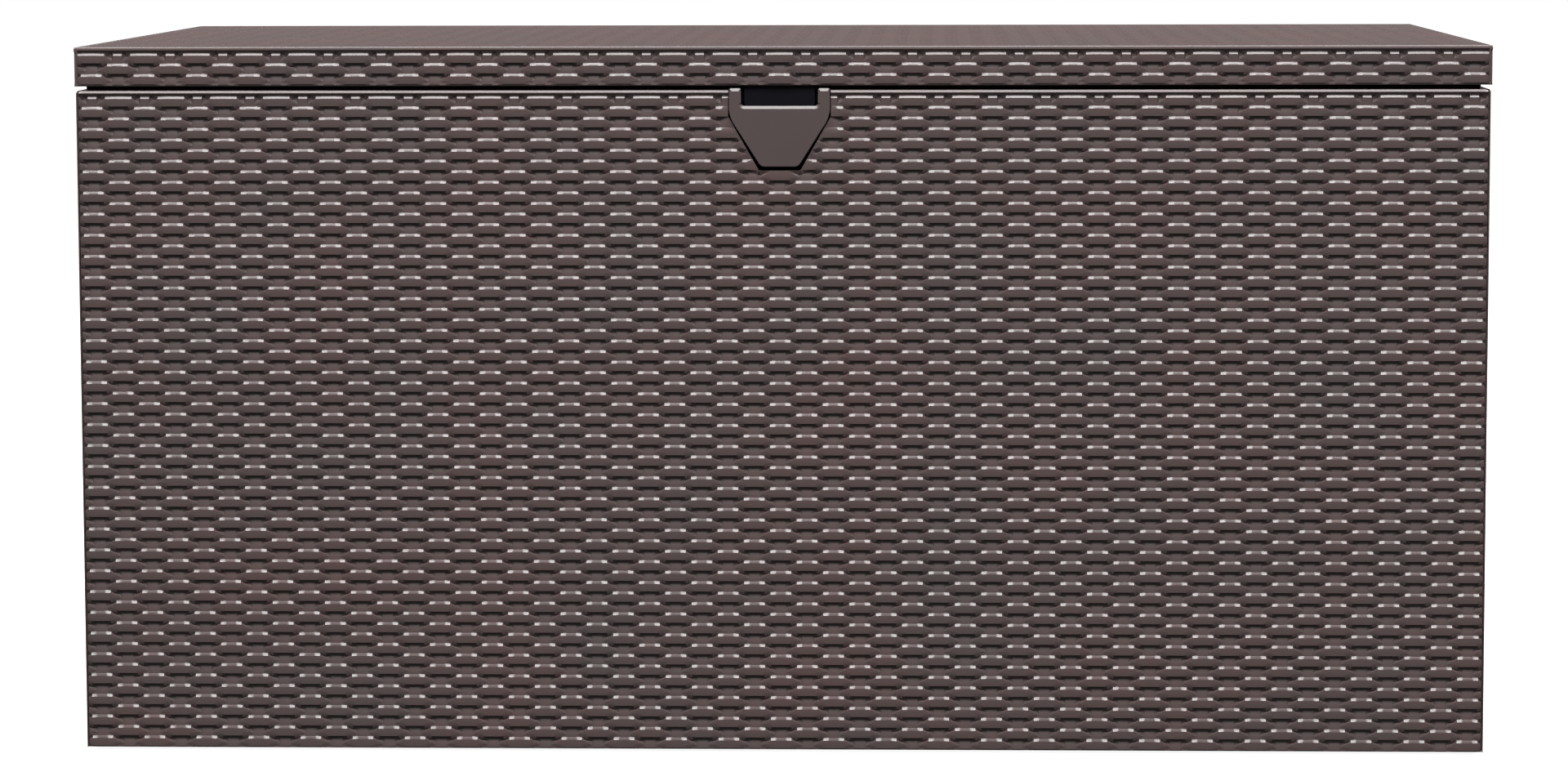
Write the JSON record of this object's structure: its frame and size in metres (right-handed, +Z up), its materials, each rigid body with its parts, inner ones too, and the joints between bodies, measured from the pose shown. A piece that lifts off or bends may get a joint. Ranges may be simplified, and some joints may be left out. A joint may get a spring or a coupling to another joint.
{
  "type": "deck storage box",
  "caption": "Large rectangular storage box with moulded wicker-look walls, a flush hinged lid on slotted stays and a shield-shaped finger plate.",
  "frame": {"origin": "middle of the footprint, on the ground under the feet", "axes": "+X along the length, to the viewer's right from the front; +Y from the front to the hinges; +Z up"},
  "size_m": [1.29, 0.7, 0.651],
  "materials": {
    "woven_resin": "moulded wicker texture, satin",
    "smooth_resin": "fine-grained satin resin",
    "inner_resin": "plain moulded resin",
    "dark_resin": "near-black resin",
    "zinc_steel": "zinc-plated steel",
    "coated_steel": "dark powder coat",
    "rubber": "soft black rubber"
  },
  "bodies": {
    "box": {"back_panel": "woven_resin", "corner_post_back_left": "inner_resin", "corner_post_back_right": "inner_resin", "corner_post_front_left": "inner_resin", "corner_post_front_right": "inner_resin", "floor_panel": "inner_resin", "foot_pads": "rubber", "front_panel": "woven_resin", "grip_plate": "smooth_resin", "hinge_body_leaf_left": "coated_steel", "hinge_body_leaf_middle": "coated_steel", "hinge_body_leaf_right": "coated_steel", "hinge_body_screws": "zinc_steel", "hinge_pin_left": "zinc_steel", "hinge_pin_middle": "zinc_steel", "hinge_pin_right": "zinc_steel", "latch_housing": "dark_resin", "latch_screws": "zinc_steel", "neck_frame": "dark_resin", "post_screws": "zinc_steel", "side_panel_left": "woven_resin", "side_panel_right": "woven_resin", "stay_pivot_pin_left": "zinc_steel", "stay_pivot_pin_right": "zinc_steel", "stay_wall_bracket_left": "zinc_steel", "stay_wall_bracket_right": "zinc_steel", "stay_wall_screws_left": "zinc_steel", "stay_wall_screws_right": "zinc_steel"},
    "lid": {"hinge_lid_leaf_left": "coated_steel", "hinge_lid_leaf_middle": "coated_steel", "hinge_lid_leaf_right": "coated_steel", "hinge_lid_screws": "zinc_steel", "latch_tongue": "dark_resin", "lid_bar_back": "zinc_steel", "lid_bar_front": "zinc_steel", "lid_bar_middle": "zinc_steel", "lid_bumpers": "rubber", "lid_liner": "inner_resin", "lid_shell": "woven_resin", "liner_screws": "zinc_steel", "stay_track_left": "zinc_steel", "stay_track_right": "zinc_steel", "stay_track_screws_left": "zinc_steel", "stay_track_screws_right": "zinc_steel", "tongue_screws": "zinc_steel"},
    "stay_left": {"stay_arm_left": "zinc_steel", "stay_slide_pin_left": "zinc_steel"},
    "stay_right": {"stay_arm_right": "zinc_steel", "stay_slide_pin_right": "zinc_steel"}
  },
  "joints": [
    {"name": "lid_hinge", "type": "hinge", "parent": "box", "child": "lid", "pos_m": [0, 0.3435, 0.61375], "axis": [-1, 0, 0], "range_deg": [0, 80]},
    {"name": "stay_swing_left", "type": "hinge", "parent": "box", "child": "stay_left", "pos_m": [-0.6195, 0.11353, 0.60974], "axis": [-1, 0, 0], "range_deg": [0, 160]},
    {"name": "stay_swing_right", "type": "hinge", "parent": "box", "child": "stay_right", "pos_m": [0.6195, 0.11353, 0.60974], "axis": [-1, 0, 0], "range_deg": [0, 160]}
  ],
  "couplings": [
    {"joint": "stay_swing_left", "follows": "lid_hinge", "ratio": 2},
    {"joint": "stay_swing_right", "follows": "lid_hinge", "ratio": 2}
  ]
}
